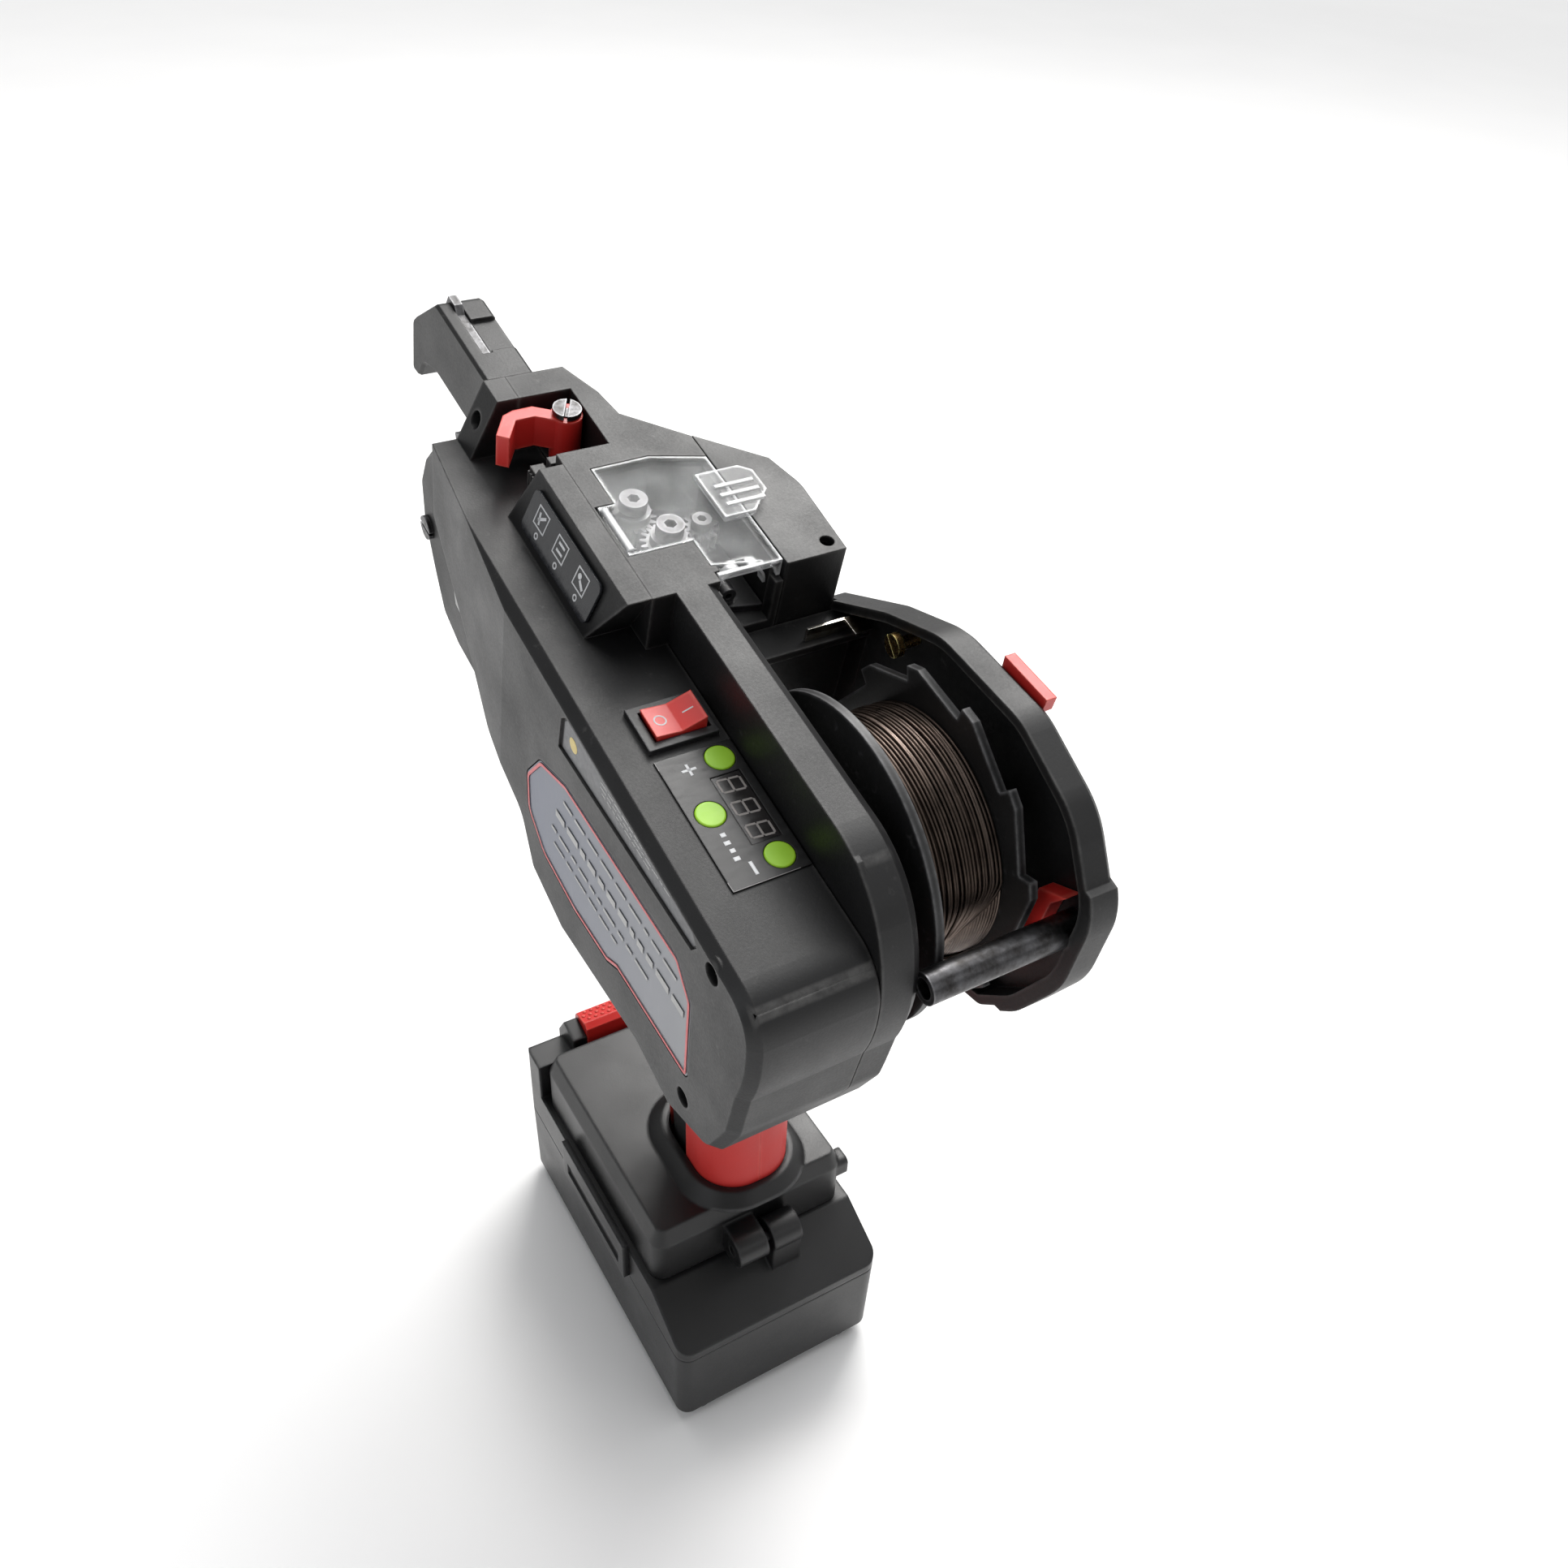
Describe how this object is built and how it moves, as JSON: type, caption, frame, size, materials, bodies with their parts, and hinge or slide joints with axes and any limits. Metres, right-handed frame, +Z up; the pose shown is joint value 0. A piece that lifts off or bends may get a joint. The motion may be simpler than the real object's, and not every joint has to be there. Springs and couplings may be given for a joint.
{
  "type": "battery rebar tying tool",
  "caption": "Cordless pistol-grip tool that feeds steel wire from a side reel round crossed bars and twists it tight, standing on its slide-on battery.",
  "frame": {"origin": "on the floor, at the middle of the four battery feet level, under the battery", "axes": "+X towards the nose, +Y to the left side with the nameplate, +Z up"},
  "size_m": [0.2762, 0.1005, 0.3139],
  "materials": {
    "black_plastic": "fine moulded texture, worn paler along edges",
    "bezel_plastic": "smooth satin",
    "battery_plastic": "satin moulded",
    "red_plastic": "satin gloss",
    "red_grip": "soft satin overmould",
    "clear_plastic": "clear moulded polycarbonate, lightly scratched",
    "black_trigger": "satin",
    "green_button": "silicone dome",
    "panel_film": "printed film",
    "icon_film": "printed film with pictograms",
    "nameplate_film": "brushed silver-grey film with a red border",
    "display_face": "smoked window with unlit segments",
    "circuit_board": "solder mask",
    "dark_steel": "blackened steel",
    "tool_steel": "hardened, oiled",
    "spring_steel": "polished strip",
    "brass": "turned",
    "motor_steel": "zinc plated can",
    "switch_body": "moulded",
    "reel_plastic": "satin moulded, scuffed",
    "tie_wire": "black annealed wire",
    "cell_wrap": "shrink wrap",
    "rubber": "moulded"
  },
  "bodies": {
    "root": {"left_housing": "black_plastic", "right_housing": "black_plastic", "front_right_cover": "black_plastic", "lower_nose": "black_plastic", "curl_arm": "black_plastic", "reel_guard": "black_plastic", "handle_left": "black_plastic", "handle_right": "black_plastic", "rocker_bezel": "bezel_plastic", "feed_base": "bezel_plastic", "foot": "battery_plastic", "grip_left": "red_grip", "grip_right": "red_grip", "grip_front": "red_grip", "control_plate": "panel_film", "icon_plate": "icon_film", "nameplate": "nameplate_film", "display": "display_face", "control_board": "circuit_board", "foot_contacts": "circuit_board", "lever_screw": "dark_steel", "gear_axles": "dark_steel", "body_screws": "dark_steel", "finger_pin": "dark_steel", "hinge_pin": "dark_steel", "guard_tube": "dark_steel", "curl_guide": "tool_steel", "trigger_spring": "spring_steel", "spindle_spring": "spring_steel", "brake_spring": "spring_steel", "brake_screw": "brass", "twist_gearmotor": "motor_steel", "feed_motor": "motor_steel", "trigger_switch": "switch_body"},
    "trigger_body": {"trigger": "black_trigger"},
    "rocker_body": {"rocker": "red_plastic"},
    "plus_body": {"button_plus": "green_button"},
    "mode_body": {"button_mode": "green_button"},
    "minus_body": {"button_minus": "green_button"},
    "cover_body": {"feed_cover": "clear_plastic"},
    "latch_body": {"cover_latch": "clear_plastic"},
    "lever_body": {"release_lever": "red_plastic"},
    "pinion_body": {"feed_pinion": "tool_steel"},
    "feed_gear_body": {"feed_gear": "tool_steel"},
    "idler_body": {"idler_gear": "tool_steel"},
    "twist_body": {"twist_hook": "tool_steel"},
    "reel_body": {"reel_left_flange": "reel_plastic", "reel_right_flange": "reel_plastic", "wire_coil": "tie_wire"},
    "reel_release_body": {"reel_release": "red_plastic"},
    "spindle_body": {"right_spindle": "reel_plastic"},
    "pawl_body": {"brake_pawl": "red_plastic"},
    "battery_body": {"battery_lower": "battery_plastic", "battery_upper": "battery_plastic", "side_clips": "battery_plastic", "battery_cells": "cell_wrap", "battery_terminals": "brass", "battery_feet": "rubber"},
    "battery_button_body": {"release_button": "red_plastic"},
    "finger_body": {"lower_finger": "tool_steel"}
  },
  "joints": [
    {"name": "trigger_pull", "type": "slide", "parent": "root", "child": "trigger_body", "axis": [-1, 0, 0], "range_m": [0, 0.004], "stiffness_N_per_m": 900, "springref_m": -0.002, "deforming": ["trigger_spring"]},
    {"name": "rocker_tip", "type": "hinge", "parent": "root", "child": "rocker_body", "pos_m": [-0.01099, 0.0158, 0.25698], "axis": [0.972, 0, 0.2351], "range_deg": [0, 16]},
    {"name": "plus_press", "type": "slide", "parent": "root", "child": "plus_body", "axis": [0.2351, 0, -0.972], "range_m": [0, 0.0008], "stiffness_N_per_m": 300, "springref_m": -0.0005},
    {"name": "mode_press", "type": "slide", "parent": "root", "child": "mode_body", "axis": [0.2351, 0, -0.972], "range_m": [0, 0.0008], "stiffness_N_per_m": 300, "springref_m": -0.0005},
    {"name": "minus_press", "type": "slide", "parent": "root", "child": "minus_body", "axis": [0.2351, 0, -0.972], "range_m": [0, 0.0008], "stiffness_N_per_m": 300, "springref_m": -0.0005},
    {"name": "cover_open", "type": "hinge", "parent": "root", "child": "cover_body", "pos_m": [0.03554, 0.0083, 0.28583], "axis": [-0.972, 0, -0.2351], "range_deg": [0, 110]},
    {"name": "latch_lift", "type": "hinge", "parent": "cover_body", "child": "latch_body", "pos_m": [0.03817, -0.0205, 0.2877], "axis": [-0.972, 0, -0.2351], "range_deg": [0, 20], "stiffness_Nm_per_rad": 0.01, "springref_deg": -5.73},
    {"name": "lever_swing", "type": "hinge", "parent": "root", "child": "lever_body", "pos_m": [0.08905, -0.0002, 0.28705], "axis": [-0.2351, 0, 0.972], "range_deg": [0, 12], "stiffness_Nm_per_rad": 0.01, "springref_deg": -11.46},
    {"name": "pinion_spin", "type": "hinge", "parent": "root", "child": "pinion_body", "pos_m": [0.04526, -0.02124, 0.27337], "axis": [-0.2351, 0, 0.972], "continuous": true},
    {"name": "feed_gear_spin", "type": "hinge", "parent": "root", "child": "feed_gear_body", "pos_m": [0.04242, -0.0095, 0.27268], "axis": [-0.2351, 0, 0.972], "continuous": true},
    {"name": "idler_spin", "type": "hinge", "parent": "root", "child": "idler_body", "pos_m": [0.05477, -0.00437, 0.27567], "axis": [-0.2351, 0, 0.972], "continuous": true},
    {"name": "twist_spin", "type": "hinge", "parent": "root", "child": "twist_body", "pos_m": [0.11575, 0.0095, 0.2647], "axis": [0.972, 0, 0.2351], "continuous": true},
    {"name": "reel_spin", "type": "hinge", "parent": "root", "child": "reel_body", "pos_m": [-0.04415, -0.029, 0.22396], "axis": [0, -1, 0], "continuous": true},
    {"name": "reel_release_turn", "type": "hinge", "parent": "root", "child": "reel_release_body", "pos_m": [-0.04415, -0.058, 0.22396], "axis": [0, -1, 0], "range_deg": [0, 20], "stiffness_Nm_per_rad": 0.1, "springref_deg": -11.46},
    {"name": "spindle_retract", "type": "slide", "parent": "root", "child": "spindle_body", "axis": [0, -1, 0], "range_m": [0, 0.0048], "deforming": ["spindle_spring"]},
    {"name": "pawl_lift", "type": "hinge", "parent": "root", "child": "pawl_body", "pos_m": [-0.08304, -0.052, 0.21249], "axis": [0, -1, 0], "range_deg": [0, 6], "stiffness_Nm_per_rad": 0.002, "springref_deg": -11.46},
    {"name": "battery_swing", "type": "hinge", "parent": "root", "child": "battery_body", "pos_m": [-0.042, 0, 0.062], "axis": [0, 1, 0], "range_deg": [0, 30]},
    {"name": "battery_button_press", "type": "slide", "parent": "battery_body", "child": "battery_button_body", "axis": [0, 0, -1], "range_m": [0, 0.003], "stiffness_N_per_m": 900, "springref_m": -0.001},
    {"name": "finger_open", "type": "hinge", "parent": "root", "child": "finger_body", "pos_m": [0.14176, 0.0095, 0.24013], "axis": [0, 1, 0], "range_deg": [0, 20], "stiffness_Nm_per_rad": 0.05, "springref_deg": -11.46}
  ],
  "couplings": [
    {"joint": "pinion_spin", "follows": "feed_gear_spin", "ratio": -1.5},
    {"joint": "idler_spin", "follows": "feed_gear_spin", "ratio": -1.125},
    {"joint": "spindle_retract", "follows": "reel_release_turn", "m_per_rad": 0.01375}
  ]
}
